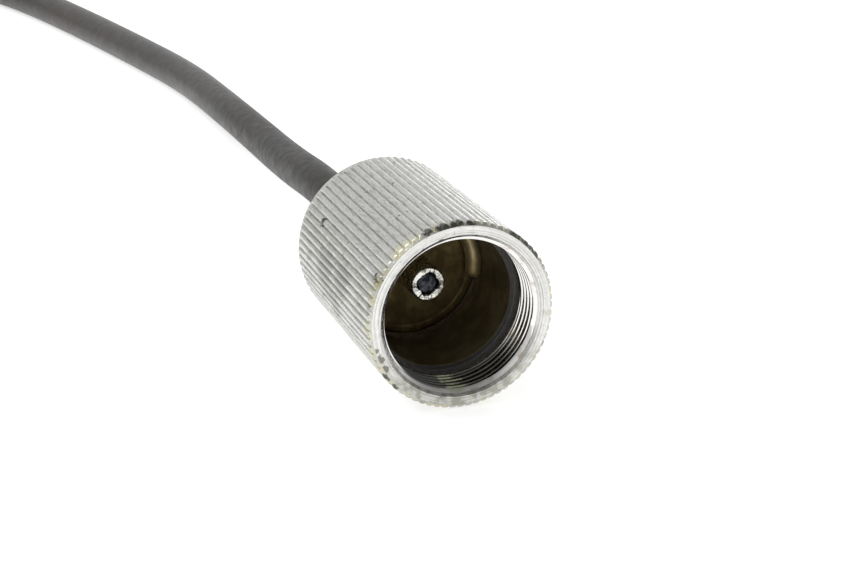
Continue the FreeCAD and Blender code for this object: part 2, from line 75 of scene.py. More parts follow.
front_chamfer_depth = 0.3
front_chamfer_rise = 0.32
knurl_teeth = 72
knurl_depth = 0.2

# The cable
sheath_radius = 1.74
cable_on_floor = -5.51
coil_centre = (-34.0, 150.6)
coil_radius = 19.2
coil_first_degrees = 28.0
coil_last_degrees = 540.0
coil_step_degrees = 16.0
coil_layer_gap = 0.45

# An edge sharper than this stays sharp in the shading
sharp_edge = math.radians(38.0)


def box_of(node):
    """A CAD node's lowest and highest corners in millimetres."""
    low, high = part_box(node)
    return low / MM, high / MM


nut_low, nut_high = box_of("coupling_nut")
nut_radius = nut_high.x
nut_length = nut_high.y
barrel_low, barrel_high = box_of("handle_barrel")
handle_x = (barrel_low.x + barrel_high.x) / 2
handle_z = (barrel_low.z + barrel_high.z) / 2


def smooth_step(low, high, value):
    share = min(max((value - low) / (high - low), 0.0), 1.0)
    return share * share * (3 - 2 * share)


# Materials


class Paint:
    """A material's node tree, with short calls for the nodes that the finishes here use."""

    def __init__(self, name, metallic=0.0, roughness=0.5, specular=0.5):
        self.material = bpy.data.materials.new(name)
        self.material.use_nodes = True
        self.tree = self.material.node_tree
        self.shader = self.tree.nodes["Principled BSDF"]
        self.shader.inputs["Metallic"].default_value = metallic
        self.shader.inputs["Roughness"].default_value = roughness
        self.shader.inputs["Specular IOR Level"].default_value = specular
        self.place = self.node("ShaderNodeTexCoord").outputs["Object"]

    def node(self, kind, **settings):
        made = self.tree.nodes.new(kind)
        for key, value in settings.items():
            setattr(made, key, value)
        return made

    def join(self, source, target):
        self.tree.links.new(source, target)

    def feed(self, socket, value):
        if isinstance(value, bpy.types.NodeSocket):
            self.join(value, socket)
        else:
            socket.default_value = value

    def stretched(self, scale):
        """The object's own coordinates in metres, times a scale for each axis."""
        mapping = self.node("ShaderNodeMapping")
        mapping.inputs["Scale"].default_value = scale
        self.join(self.place, mapping.inputs["Vector"])
        return mapping.outputs["Vector"]

    def noise(self, size, detail=3.0, roughness=0.55, vector=None):
        """Noise with features of about this size in millimetres."""
        made = self.node("ShaderNodeTexNoise")
        made.inputs["Scale"].default_value = 1 / (size * MM)
        made.inputs["Detail"].default_value = detail
        made.inputs["Roughness"].default_value = roughness
        self.join(vector or self.place, made.inputs["Vector"])
        return made.outputs["Fac"]

    def math(self, operation, first, second=0.0, clamp=False):
        made = self.node("ShaderNodeMath", operation=operation, use_clamp=clamp)
        self.feed(made.inputs[0], first)
        self.feed(made.inputs[1], second)
        return made.outputs[0]

    def span(self, value, low, high, to_low=0.0, to_high=1.0):
        """The value's share of the way from low to high, mapped smoothly to another range."""
        made = self.node("ShaderNodeMapRange", interpolation_type="SMOOTHSTEP")
        self.feed(made.inputs["Value"], value)
        made.inputs["From Min"].default_value = low
        made.inputs["From Max"].default_value = high
        made.inputs["To Min"].default_value = to_low
        made.inputs["To Max"].default_value = to_high
        return made.outputs["Result"]

    def mix(self, share, first, second):
        made = self.node("ShaderNodeMix", data_type="RGBA")
        self.feed(made.inputs["Factor"], share)
        for socket, value in ((made.inputs[6], first), (made.inputs[7], second)):
            self.feed(socket, value if isinstance(value, bpy.types.NodeSocket) else (*value, 1.0))
        return made.outputs[2]

    def attribute(self, name):
        made = self.node("ShaderNodeAttribute", attribute_name=name)
        return made.outputs["Fac"]

    def polar(self):
        """Radius from the Y axis in millimetres, and the angle round it in turns."""
        parts = self.node("ShaderNodeSeparateXYZ")
        self.join(self.place, parts.inputs[0])
        x, z = parts.outputs[0], parts.outputs[2]
        square = self.math("ADD", self.math("MULTIPLY", x, x), self.math("MULTIPLY", z, z))
        radius = self.math("DIVIDE", self.math("SQRT", square), MM)
        turns = self.math("DIVIDE", self.math("ARCTAN2", z, x), 2 * math.pi)
        return radius, turns

    def coordinate(self, axis):
        """The place along an axis in millimetres."""
        parts = self.node("ShaderNodeSeparateXYZ")
        self.join(self.place, parts.inputs[0])
        return self.math("DIVIDE", parts.outputs[axis], MM)

    def along(self):
        return self.coordinate("Y")

    def height(self):
        return self.coordinate("Z")

    def spots(self, places, edge=0.7):
        """Share from 0 to 1 near places (x, y, z, size) in millimetres, with uneven edges."""
        ragged = self.math("MULTIPLY", self.math("SUBTRACT", self.noise(edge, 3.0), 0.5), 1.6)
        share = 0.0
        for x, y, z, size in places:
            distance = self.node("ShaderNodeVectorMath", operation="DISTANCE")
            self.join(self.place, distance.inputs[0])
            distance.inputs[1].default_value = Vector((x, y, z)) * MM
            reach = self.math("DIVIDE", distance.outputs["Value"], size * MM)
            near = self.span(self.math("ADD", reach, ragged), 1.0, 0.55)
            share = self.math("MAXIMUM", share, near)
        return share

    def turning_marks(self, pitch):
        """Fine rings round the Y axis, as a lathe leaves them, as a height from 0 to 1."""
        radius, turns = self.polar()
        spot = self.node("ShaderNodeCombineXYZ")
        self.join(self.math("DIVIDE", radius, pitch), spot.inputs[0])
        self.join(self.math("MULTIPLY", turns, 3.0), spot.inputs[1])
        self.join(self.math("DIVIDE", self.along(), pitch), spot.inputs[2])
        made = self.node("ShaderNodeTexNoise")
        made.inputs["Scale"].default_value = 1.0
        made.inputs["Detail"].default_value = 2.0
        self.join(spot.outputs[0], made.inputs["Vector"])
        return made.outputs["Fac"]

    def bump(self, height, depth, strength=1.0):
        """Bump of this depth in millimetres, laid over any bump that the material has."""
        made = self.node("ShaderNodeBump")
        made.inputs["Strength"].default_value = strength
        made.inputs["Distance"].default_value = depth * MM
        self.feed(made.inputs["Height"], height)
        normal = self.shader.inputs["Normal"]
        if normal.is_linked:
            self.join(normal.links[0].from_socket, made.inputs["Normal"])
        self.join(made.outputs["Normal"], normal)

    def finish(self, colour=None, roughness=None):
        if colour is not None:
            self.join(colour, self.shader.inputs["Base Color"])
        if roughness is not None:
            self.join(roughness, self.shader.inputs["Roughness"])
        return self.material


def knurl_finish():
    """Dull nickel plate: fine cross grain, smudges, a little dirt in the grooves and at the front, with
    painted light on the top, painted shade underneath, and painted highlights and painted shade on the
    knurl's front ends.
    """
    paint = Paint("nickel_knurl", metallic=1.0)
    blotch = paint.span(paint.noise(2.6, 4.0), 0.36, 0.66)
    grain = paint.noise(0.13, 3.0, 0.7)
    streak = paint.noise(0.09, 2.0, 0.6, paint.stretched((1.0, 0.22, 1.0)))
    plate = paint.mix(blotch, (0.60, 0.605, 0.57), (0.71, 0.71, 0.685))
    plate = paint.mix(paint.span(grain, 0.40, 0.68, 0.0, 0.6), plate, (0.46, 0.46, 0.43))
    plate = paint.mix(paint.span(streak, 0.52, 0.72, 0.0, 0.4), plate, (0.44, 0.44, 0.41))
    groove = paint.span(paint.attribute("groove"), 0.5, 1.0)
    dirt_share = paint.math("MULTIPLY", groove, paint.span(paint.noise(0.7), 0.32, 0.66, 0.1, 0.6))
    plate = paint.mix(dirt_share, plate, (0.19, 0.185, 0.16))
    fine_smudge = paint.span(paint.noise(1.1, 4.0), 0.56, 0.7)
    smudge = paint.math("MULTIPLY", fine_smudge, paint.span(paint.noise(4.4, 1.0), 0.5, 0.62))
    plate = paint.mix(paint.math("MULTIPLY", smudge, 0.5), plate, (0.24, 0.24, 0.225))
    handled_places = (
        (-7.03, 11.2, 0.7, 2.3),
        (-7.0, 7.2, 1.2, 2.0),
        (-6.9, 9.0, -1.2, 1.7),
    )
    handled = paint.spots(handled_places, 0.5)
    plate = paint.mix(paint.math("MULTIPLY", handled, 0.55), plate, (0.26, 0.26, 0.245))
    # painted shade: the knurl darker towards the bottom
    painted_shade_under = paint.span(paint.height(), -1.0, -5.0, 0.0, 0.3)
    plate = paint.mix(painted_shade_under, plate, (0.42, 0.42, 0.39))
    # painted light: the knurl lighter towards the top, except in the dirty grooves
    painted_light_top = paint.span(paint.height(), 1.5, 5.0, 0.0, 0.7)
    painted_light_top = paint.math("MULTIPLY", painted_light_top, paint.math("SUBTRACT", 1.0, dirt_share))
    plate = paint.mix(painted_light_top, plate, (0.84, 0.84, 0.815))
    scored = paint.noise(0.11, 3.0, 0.65, paint.stretched((1.0, 0.1, 1.0)))
    plate = paint.mix(paint.span(scored, 0.50, 0.64, 0.0, 0.6), plate, (0.36, 0.36, 0.335))
    plate = paint.mix(paint.span(grain, 0.5, 0.66, 0.0, 0.45), plate, (0.36, 0.36, 0.335))
    speck = paint.span(paint.noise(0.42, 2.0, 0.4), 0.68, 0.74)
    speck = paint.math("MULTIPLY", speck, paint.span(paint.noise(3.5, 1.0), 0.5, 0.6))
    plate = paint.mix(speck, plate, (0.07, 0.065, 0.05))
    nick_places = (
        (-6.08, 14.5, 3.51, 0.45),
        (-6.46, 0.3, 3.29, 0.6),
        (-6.3, 1.0, 3.5, 0.35),
    )
    nicks = paint.spots(nick_places, 0.3)
    plate = paint.mix(nicks, plate, (0.05, 0.05, 0.045))
    front = paint.span(paint.along(), 1.5, 0.3)
    yellow = paint.math("MULTIPLY", front, paint.span(paint.noise(1.1, 3.0), 0.44, 0.58, 0.1, 0.8))
    plate = paint.mix(yellow, plate, (0.62, 0.59, 0.41))
    # painted highlights: pale cream spots on the knurl's front ends at the upper left
    highlight_places = (
        (-4.75, 0.5, 5.47, 0.9),
        (-4.1, 0.4, 6.0, 0.8),
        (-3.4, 0.3, 6.4, 0.5),
    )
    painted_highlight = paint.spots(highlight_places, 0.4)
    plate = paint.mix(paint.math("MULTIPLY", painted_highlight, 0.85), plate, (0.86, 0.84, 0.66))
    # painted shade: near-black spots on the knurl's front ends at the top and right, laid over random dark
    # dirt at the front
    shaded_ends = (
        (-2.6, 0.3, 6.75, 0.5),
        (-1.5, 0.2, 7.1, 0.7),
        (-0.4, 0.2, 7.23, 0.7),
        (0.7, 0.1, 7.2, 0.5),
        (4.3, 0.1, 5.8, 0.8),
        (5.1, 0.1, 5.1, 0.9),
        (5.8, 0.1, 4.3, 0.7),
        (-5.9, 0.2, -4.2, 0.45),
        (-5.2, 0.2, -5.0, 0.4),
    )
    front_dirt_and_shade = paint.math("MULTIPLY", front, paint.span(paint.noise(1.9, 3.0), 0.6, 0.7, 0.0, 0.4))
    front_dirt_and_shade = paint.math("MAXIMUM", front_dirt_and_shade, paint.math("MULTIPLY", paint.spots(shaded_ends, 0.5), 0.85))
    plate = paint.mix(front_dirt_and_shade, plate, (0.05, 0.05, 0.042))
    rough = paint.span(grain, 0.25, 0.8, 0.26, 0.42)
    rough = paint.math("ADD", rough, paint.math("MULTIPLY", dirt_share, 0.2))
    paint.bump(grain, 0.018)
    paint.bump(streak, 0.008)
    paint.bump(scored, 0.012)
    paint.bump(paint.noise(0.05, 2.0), 0.003)
    return paint.finish(plate, rough)


def rim_finish():
    """The nut's turned front rim, brighter than the knurl, scuffed, with dirt in some patches and painted
    shade in patches towards the bottom.
    """
    paint = Paint("nickel_rim", metallic=1.0)
    marks = paint.turning_marks(0.07)
    radius, _ = paint.polar()
    plate = paint.mix(paint.span(marks, 0.32, 0.68), (0.56, 0.56, 0.545), (0.84, 0.83, 0.80))
    step = paint.math("MULTIPLY", paint.span(radius, 6.32, 6.4), paint.span(radius, 6.5, 6.42))
    step = paint.math("MULTIPLY", step, paint.span(paint.noise(2.0, 2.0), 0.35, 0.6, 0.15, 0.7))
    plate = paint.mix(step, plate, (0.34, 0.34, 0.32))
    stain = paint.span(paint.noise(1.3, 4.0), 0.55, 0.7)
    plate = paint.mix(paint.math("MULTIPLY", stain, 0.55), plate, (0.40, 0.39, 0.31))
    patches = paint.span(paint.noise(0.8, 4.0), 0.40, 0.60, 0.25, 0.85)
    # painted shade: the rim darker in patches towards the bottom
    wear_and_painted_light = paint.math("MULTIPLY", paint.span(paint.height(), -1.5, -5.5), patches)
    plate = paint.mix(wear_and_painted_light, plate, (0.31, 0.31, 0.26))
    dent_places = (
        (-6.3, 0.0, -2.6, 0.45),
        (-5.9, 0.0, -3.4, 0.4),
        (-6.6, 0.0, -1.9, 0.25),
    )
    dents = paint.spots(dent_places, 0.25)
    plate = paint.mix(paint.math("MULTIPLY", dents, 0.8), plate, (0.13, 0.13, 0.10))
    speck = paint.span(paint.noise(0.24, 2.0, 0.4), 0.69, 0.76)
    plate = paint.mix(speck, plate, (0.16, 0.15, 0.11))
    rough = paint.span(paint.noise(0.5), 0.3, 0.7, 0.2, 0.36)
    paint.bump(marks, 0.01)
    paint.bump(paint.noise(0.3), 0.012)
    return paint.finish(plate, rough)


def thread_finish():
    """Shiny cut thread with brown traces, with a painted dark reflection in its lower part and painted
    pale reflections on it there.
    """
    paint = Paint("nickel_thread", metallic=1.0)
    stain = paint.span(paint.noise(1.3, 3.0), 0.52, 0.7, 0.0, 0.6)
    plate = paint.mix(stain, (0.82, 0.81, 0.79), (0.42, 0.32, 0.24))
    # painted dark reflection: the thread's lower part darker, from a little way inside the mouth
    painted_dark_reflection = paint.span(paint.height(), -2.6, -4.6, 0.0, 0.93)
    painted_dark_reflection = paint.math("MULTIPLY", painted_dark_reflection, paint.span(paint.along(), 0.3, 0.6))
    plate = paint.mix(painted_dark_reflection, plate, (0.115, 0.118, 0.113))
    # painted reflection: pale greenish patches on the lower thread
    reflection_places = (
        (-0.1, 0.9, -5.9, 1.0),
        (-0.1, 1.9, -5.9, 1.0),
        (-0.3, 2.8, -5.9, 0.8),
    )
    wear_and_painted_light = paint.spots(reflection_places, 0.5)
    plate = paint.mix(paint.math("MULTIPLY", wear_and_painted_light, 0.9), plate, (0.58, 0.61, 0.43))
    rough = paint.span(paint.noise(0.4), 0.3, 0.7, 0.05, 0.13)
    paint.bump(paint.turning_marks(0.06), 0.002)
    return paint.finish(plate, rough)


def relief_finish():
    """The satin band behind the thread, and the step down to the chamber, painted dark as shade."""
    paint = Paint("nickel_relief", metallic=1.0)
    radius, _ = paint.polar()
    plate = paint.mix(paint.noise(0.9, 3.0), (0.42, 0.42, 0.43), (0.58, 0.58, 0.58))
    # painted shade: the step and its bevel darkened
    step = paint.span(radius, relief_radius + 0.0005, relief_radius - 0.008)
    plate = paint.mix(step, plate, (0.085, 0.083, 0.08))
    paint.bump(paint.turning_marks(0.07), 0.004)
    return paint.finish(plate, paint.span(paint.noise(0.5), 0.3, 0.7, 0.34, 0.5))


def chamber_finish():
    """The nut's inside, brown with age."""
    paint = Paint("brown_chamber", metallic=0.35)
    cloud = paint.span(paint.noise(2.2, 4.0), 0.35, 0.68)
    brown = paint.mix(cloud, (0.088, 0.068, 0.034), (0.155, 0.125, 0.066))
    paint.bump(paint.turning_marks(0.12), 0.004)
    return paint.finish(brown, paint.span(paint.noise(0.8), 0.3, 0.7, 0.32, 0.5))


def tarnished_finish(name, dark, light, metallic=0.8):
    """Brown tarnished brass with turning marks and cloudy patches."""
    paint = Paint(name, metallic=metallic)
    cloud = paint.span(paint.noise(1.8, 4.0), 0.34, 0.68)
    brown = paint.mix(cloud, dark, light)
    brown = paint.mix(paint.span(paint.noise(0.25), 0.6, 0.75, 0.0, 0.5), brown, (0.03, 0.02, 0.012))
    paint.bump(paint.turning_marks(0.11), 0.005)
    paint.bump(paint.noise(0.35), 0.008)
    return paint.finish(brown, paint.span(cloud, 0.0, 1.0, 0.5, 0.34))


def lip_finish():
    """Bright plate of the nose tube, burred and pitted at its lip."""
    paint = Paint("bright_lip", metallic=1.0)
    pits = paint.span(paint.noise(0.36, 4.0), 0.46, 0.64)
    plate = paint.mix(pits, (0.80, 0.79, 0.73), (0.22, 0.21, 0.17))
    paint.bump(paint.noise(0.3, 3.0), 0.04)
    return paint.finish(plate, paint.span(pits, 0.0, 1.0, 0.22, 0.45))


def steel_finish(name, dark, light, roughness):
    """Plain turned metal with a mottled tone and a fine grain."""
    paint = Paint(name, metallic=1.0)
    tone = paint.mix(paint.span(paint.noise(1.4, 4.0), 0.35, 0.68), dark, light)
    paint.bump(paint.noise(0.3, 3.0), 0.008)
    low, high = roughness
    return paint.finish(tone, paint.span(paint.noise(0.5), 0.3, 0.7, low, high))


def tip_finish():
    """The dark pin's worn and pitted end."""
    paint = Paint("dark_tip", metallic=0.8)
    pits = paint.span(paint.noise(0.34, 4.0), 0.36, 0.66)
    tone = paint.mix(pits, (0.022, 0.024, 0.030), (0.105, 0.112, 0.135))
    paint.bump(paint.noise(0.26, 4.0), 0.12)
    return paint.finish(tone, paint.span(pits, 0.0, 1.0, 0.55, 0.32))


def satin_finish(name, colour, wear_and_painted_light):
    """Satin plate of the hand end: a soft tone change, faint scratches round the axis and worn patches."""
    paint = Paint(name, metallic=1.0)
    patch = paint.span(paint.noise(4.0, 4.0), 0.4, 0.68)
    tone = paint.mix(patch, colour, wear_and_painted_light)
    scratches = paint.noise(0.12, 2.0, 0.6, paint.stretched((0.25, 1.6, 0.25)))
    tone = paint.mix(paint.span(scratches, 0.58, 0.74, 0.0, 0.25), tone, (0.42, 0.42, 0.40))
    paint.bump(scratches, 0.004)
    return paint.finish(tone, paint.span(paint.noise(0.7, 4.0), 0.3, 0.7, 0.26, 0.4))


def vinyl_finish():
    """Matte grey vinyl with a soft grain, brown tints and handling marks, with painted shade near the nut.
    """
    paint = Paint("grey_vinyl", roughness=0.5, specular=0.45)
    tint = paint.span(paint.noise(9.0, 3.0), 0.36, 0.66)
    grey = paint.mix(tint, (0.056, 0.054, 0.051), (0.064, 0.053, 0.047))
    smudge = paint.span(paint.noise(3.0, 4.0), 0.55, 0.72, 0.0, 0.35)
    grey = paint.mix(smudge, grey, (0.10, 0.096, 0.09))
    fleck = paint.span(paint.noise(0.35, 2.0), 0.66, 0.74, 0.0, 0.5)
    grey = paint.mix(fleck, grey, (0.045, 0.042, 0.040))
    # painted shade: the sheath darker, with less sheen and specular, near the nut
    painted_shade_near_nut = paint.span(paint.along(), 104.0, 62.0, 0.0, 0.72)
    grey = paint.mix(paint.math("MULTIPLY", painted_shade_near_nut, 0.85), grey, (0.026, 0.025, 0.023))
    paint.bump(paint.noise(0.22, 3.0, 0.6), 0.015)
    paint.join(paint.span(painted_shade_near_nut, 0.0, 1.0, 0.45, 0.08), paint.shader.inputs["Sheen Weight"])
    paint.join(paint.span(painted_shade_near_nut, 0.0, 1.0, 0.45, 0.12), paint.shader.inputs["Specular IOR Level"])
    paint.shader.inputs["Sheen Roughness"].default_value = 0.4
    return paint.finish(grey, paint.span(paint.noise(0.9, 3.0), 0.3, 0.7, 0.42, 0.6))


def rubber_finish():
    """Moulded black rubber with a fine matte grain."""
    paint = Paint("black_rubber", specular=0.4)
    patch = paint.span(paint.noise(1.6, 4.0), 0.38, 0.68)
    tone = paint.mix(patch, (0.022, 0.022, 0.023), (0.042, 0.041, 0.040))
    paint.bump(paint.noise(0.18, 3.0), 0.02)
    return paint.finish(tone, paint.span(paint.noise(0.6), 0.3, 0.7, 0.5, 0.68))


def fibre_finish():
    paint = Paint("red_fibre", specular=0.3)
    tone = paint.mix(paint.noise(0.4, 4.0), (0.20, 0.09, 0.05), (0.30, 0.15, 0.08))
    paint.bump(paint.noise(0.2), 0.02)
    return paint.finish(tone, paint.span(paint.noise(0.5), 0.3, 0.7, 0.6, 0.8))


# Mesh making


def quads(rows, columns, closed_rows, closed_columns):
    """Faces of a grid of vertices given row by row, which may close on itself either way."""
    faces = []
    for row in range(rows if closed_rows else rows - 1):
        here = row * columns
        ahead = (row + 1) % rows * columns
        for column in range(columns if closed_columns else columns - 1):
            beside = (column + 1) % columns
            faces.append((here + column, here + beside, ahead + beside, ahead + column))
    return faces


def new_object(name, vertices, faces, materials, face_materials=None):
    """A smooth-shaded mesh object, its vertices given in millimetres and welded where they meet."""
    mesh = bpy.data.meshes.new(name)
    mesh.from_pydata([Vector(v) * MM for v in vertices], [], faces)
    for material in materials:
        mesh.materials.append(material)
    if face_materials is not None:
        mesh.polygons.foreach_set("material_index", face_materials)
    work = bmesh.new()
    work.from_mesh(mesh)
    bmesh.ops.remove_doubles(work, verts=work.verts, dist=0.0002 * MM)
    bmesh.ops.dissolve_degenerate(work, edges=work.edges, dist=0.0002 * MM)
    bmesh.ops.recalc_face_normals(work, faces=work.faces)
    work.to_mesh(mesh)
    work.free()
    mesh.shade_smooth()
    mesh.set_sharp_from_angle(angle=sharp_edge)
    made = bpy.data.objects.new(name, mesh)
    bpy.context.scene.collection.objects.link(made)
    return made


def softened(profile, width=0.05):
    """The closed profile with each corner cut by a small round of three points."""
    points = []
    count = len(profile)
    for k in range(count):
        here = Vector(profile[k])
        before = Vector(profile[k - 1]) - here
        after = Vector(profile[(k + 1) % count]) - here
        reach = min(width, before.length * 0.3, after.length * 0.3)
        first = here + before.normalized() * reach
        last = here + after.normalized() * reach
        middle = (first + last) / 4 + here / 2
        on_axis = here.x < 1e-6
        points += [tuple(here)] if on_axis else [tuple(first), tuple(middle), tuple(last)]
    return points


def lathe(name, profile, material, axis=(0.0, 0.0), columns=128, shape=None, width=0.05):
    """A piece turned about a line along Y from points (radius, y), closed, with small rounds.

    The function shape(radius, y, angle), where given, returns a changed radius and y.
    """
    rings = softened(profile, width)
    vertices = []
    for radius, y in rings:
        for column in range(columns):
            angle = 2 * math.pi * column / columns
            r, place = shape(radius, y, angle) if shape else (radius, y)
            vertices.append((axis[0] + r * math.cos(angle), place, axis[1] + r * math.sin(angle)))
    return new_object(name, vertices, quads(len(rings), columns, True, True), [material])


def place_piece(piece, body, slot, *replaced):
    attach(piece, body)
    if replaced:
        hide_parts(*replaced)
    return piece


# The bell nut


def tooth_depth(phase):
    """How far a knurl tooth falls below its crest, as a share, at a phase from -0.5 to 0.5."""
    return 0.3 * smooth_step(0.1, 0.42, abs(phase)) + 0.7 * smooth_step(0.33, 0.48, abs(phase))


def nut_outer_radius(y, sunk):
    """The knurled outside, cut by the front chamfer and turned down to a plain band at the rear."""
    taper = nut_radius + (nut_rear_radius - nut_radius) * y / nut_length
    front = nut_radius - front_chamfer_rise + front_chamfer_rise * y / front_chamfer_depth
    knurl_end = nut_band_radius + max(0.0, nut_length - nut_band_length - y)
    rear = nut_band_radius - nut_rear_chamfer + nut_length - y
    return min(taper - sunk, front, knurl_end, rear)


def thread_radius(y, phase):
    """The helical thread, cut back by the mouth's bevel and run out into the relief."""
    ridge = smooth_step(0.14, 0.36, phase) * (1 - smooth_step(0.64, 0.86, phase))
    radius = thread_major - (thread_major - thread_minor) * ridge
    bevel = thread_major - (y - mouth_bevel_depth) * (mouth_radius - thread_major) / mouth_bevel_depth
    end = mouth_bevel_depth + thread_length
    run_out = smooth_step(end - 0.3, end, y)
    return max(radius, bevel) * (1 - run_out) + relief_radius * run_out


def bell_nut():
    """The whole nut as one closed skin, knurl outside and helical thread inside."""
    phases = (-0.45, -0.41, -0.37, -0.32, -0.2, 0.0, 0.2, 0.32, 0.37, 0.41, 0.45, 0.5)
    turns = [(tooth + phase) / knurl_teeth for tooth in range(knurl_teeth) for phase in phases]
    sunk_shares = [tooth_depth(phase) for _ in range(knurl_teeth) for phase in phases]
    turns.append(turns[0] + 1)
    sunk_shares.append(sunk_shares[0])
    columns = len(turns)
    knurl, rim, thread, relief, chamber, groove_floor = range(6)
    vertices = []
    rows = []

    def add_row(material, place):
        """One row round the nut, where place(turn, sunk share) gives radius and y."""
        for turn, share in zip(turns, sunk_shares):
            radius, y = place(turn, share)
            angle = 2 * math.pi * turn
            vertices.append((radius * math.cos(angle), y, radius * math.sin(angle)))
        rows.append(material)

    def outside(y):
        def place(turn, share):
            angle = 2 * math.pi * turn
            spot = Vector((7 * math.cos(angle), y * 0.8, 7 * math.sin(angle)))
            wear = 0.010 * noise.noise(spot * 1.7) + 0.007 * noise.noise(spot * 5.3)
            nick = max(0.0, noise.noise(spot * 2.9 + Vector((3, 1, 8))) - 0.35) * 0.10
            depth = knurl_depth * share * (1 + 0.12 * noise.noise(spot * 0.9))
            return nut_outer_radius(y, depth + nick * (1 - share)) + wear, y

        return place

    def rim_place(radius, y):
        def place(turn, share):
            angle = 2 * math.pi * turn
            spot = Vector((radius * math.cos(angle), y, radius * math.sin(angle)))
            dent = max(0.0, noise.noise(spot * 1.9 + Vector((5, 2, 1))) - 0.3) * 0.10
            return radius, y + dent + 0.006 * noise.noise(spot * 4.1)

        return place

    def plain(radius, y):
        return lambda turn, share: (radius, y)

    def helix(k, rows_per_pitch):
        start = mouth_bevel_depth + k * thread_pitch / rows_per_pitch
        phase = (k / rows_per_pitch) % 1.0

        def place(turn, share):
            y = start + thread_pitch * (turn - turns[0])
            y = min(max(y, mouth_bevel_depth), mouth_bevel_depth + thread_length)
            return thread_radius(y, phase), y

        return place

    # outside, from the rear to the front
    band_start = nut_length - nut_band_length
    outer_places = [nut_length - fall for fall in (0.0, 0.05, 0.1, 0.15, nut_rear_chamfer, 0.28, 0.7)]
    outer_places += [band_start - fall for fall in (-0.06, 0.0, 0.04, 0.09, 0.14, 0.19, 0.25, 0.34)]
    steps = 34
    outer_places += [band_start - 0.6 - k * (band_start - 1.4) / steps for k in range(steps)]
    outer_places += [0.62, 0.42, 0.33, 0.28, 0.22, 0.16, 0.10, 0.05, 0.0]
    for y in outer_places:
        add_row(knurl, outside(y))
    # front rim, then the bevel of the mouth
    rim_outer = nut_radius - front_chamfer_rise
    rim_radii = [rim_outer - fall for fall in (0.06, 0.22, 0.4)]
    rim_radii += [mouth_radius + rise for rise in (0.12, 0.03)]
    for radius in rim_radii:
        add_row(rim, rim_place(radius, 0.0))
    for share in (0.04, 0.2, 0.4, 0.6, 0.8, 0.96):
        radius = mouth_radius + (thread_major - mouth_radius) * share
        add_row(rim, plain(radius, mouth_bevel_depth * share))
    rows_per_pitch = 12
    last = round(rows_per_pitch * thread_length / thread_pitch)
    for k in range(-rows_per_pitch, last + 1):
        add_row(thread, helix(k, rows_per_pitch))
    # relief band, chamber, ring groove, shoulder, bore and rear face
    relief_end = mouth_bevel_depth + thread_length + relief_length
    edge = 0.03
    inside = [
        (relief, relief_radius, relief_end - relief_length / 2),
        (relief, relief_radius, relief_end - edge),
        (relief, relief_radius - edge, relief_end),
        (relief, chamber_radius + edge, relief_end),
        (chamber, chamber_radius, relief_end + edge),
        (chamber, chamber_radius, relief_end + 2.0),
        (chamber, chamber_radius, relief_end + 4.0),
        (chamber, chamber_radius, ring_groove_start - edge),
        (chamber, chamber_radius + edge, ring_groove_start),
        (chamber, ring_groove_radius, ring_groove_start),
        (groove_floor, ring_groove_radius, flange_front),
        (chamber, chamber_radius + edge, flange_front),
        (chamber, chamber_radius, flange_front + edge),
        (chamber, chamber_radius, nut_shoulder),
        (chamber, nut_bore_radius + edge, nut_shoulder),
        (chamber, nut_bore_radius, nut_shoulder + edge),
        (chamber, nut_bore_radius, nut_length - edge),
        (rim, nut_bore_radius + edge, nut_length),
        (rim, nut_band_radius - nut_rear_chamfer - 0.8, nut_length),
    ]
    for material, radius, y in inside:
        add_row(material, plain(radius, y))
    # the faces between two rows have the later row's material, and those that close the skin the rim's
    faces = quads(len(rows), columns, True, False)
    face_materials = [row for row in rows[1:] + [rim] for _ in range(columns - 1)]
    materials = [knurl_finish(), rim_finish(), thread_finish(), relief_finish(), chamber_finish()]
    # painted light: the ring groove's floor is a lighter, less metallic brown than the chamber, to lift
    # the shade in the groove
    materials.append(tarnished_finish("groove_painted_lighter", (0.14, 0.11, 0.058), (0.22, 0.18, 0.10), 0.2))
    nut = new_object("bell_nut", vertices, faces, materials, face_materials)
    groove = nut.data.attributes.new("groove", "FLOAT", "POINT")
    for index, vertex in enumerate(nut.data.vertices):
        radius = math.hypot(vertex.co.x, vertex.co.z) / MM
        y = vertex.co.y / MM
        crest = nut_outer_radius(y, 0.0)
        groove.data[index].value = min(max((crest - radius) / knurl_depth, 0.0), 1.0)
    return place_piece(nut, "nut", "nickel", "coupling_nut")


# The cable end in the nut


def nose_lip():
    """The nose tube with its lip burred inwards, so that its bore looks squarish."""
    low, high = box_of("nose_tube")
    outer = (high.x - low.x) / 2
    bore = 0.85
    lip = 0.12
    front = low.y
    profile = [
        (bore, front + lip),
        (bore + 0.06, front + 0.02),
        (bore + 0.2, front + 0.03),
        (outer - lip, front + 0.02),
        (outer, front + lip + 0.05),
        (outer, high.y),
        (bore, high.y),
    ]

    def burred(radius, y, angle):
        near_front = 1 - smooth_step(front + lip, front + 4 * lip, y)
        inner = 1 - smooth_step(bore, outer, radius)
        spot = Vector((math.cos(angle) * 2.6, math.sin(angle) * 2.6, y))
        flow = 0.07 * math.cos(4 * angle + 0.9)
        flow += 0.10 * noise.noise(spot * 1.3) + 0.06 * noise.noise(spot * 3.7)
        radius += near_front * inner * (flow - 0.01)
        y += near_front * (0.035 * noise.noise(spot * 2.4) + 0.02 * noise.noise(spot * 6.0))
        return radius, y

    nose = lathe("nose_tube_lip", profile, lip_finish(), columns=160, shape=burred, width=0.04)
    return place_piece(nose, "root", "bright_plate", "nose_tube")


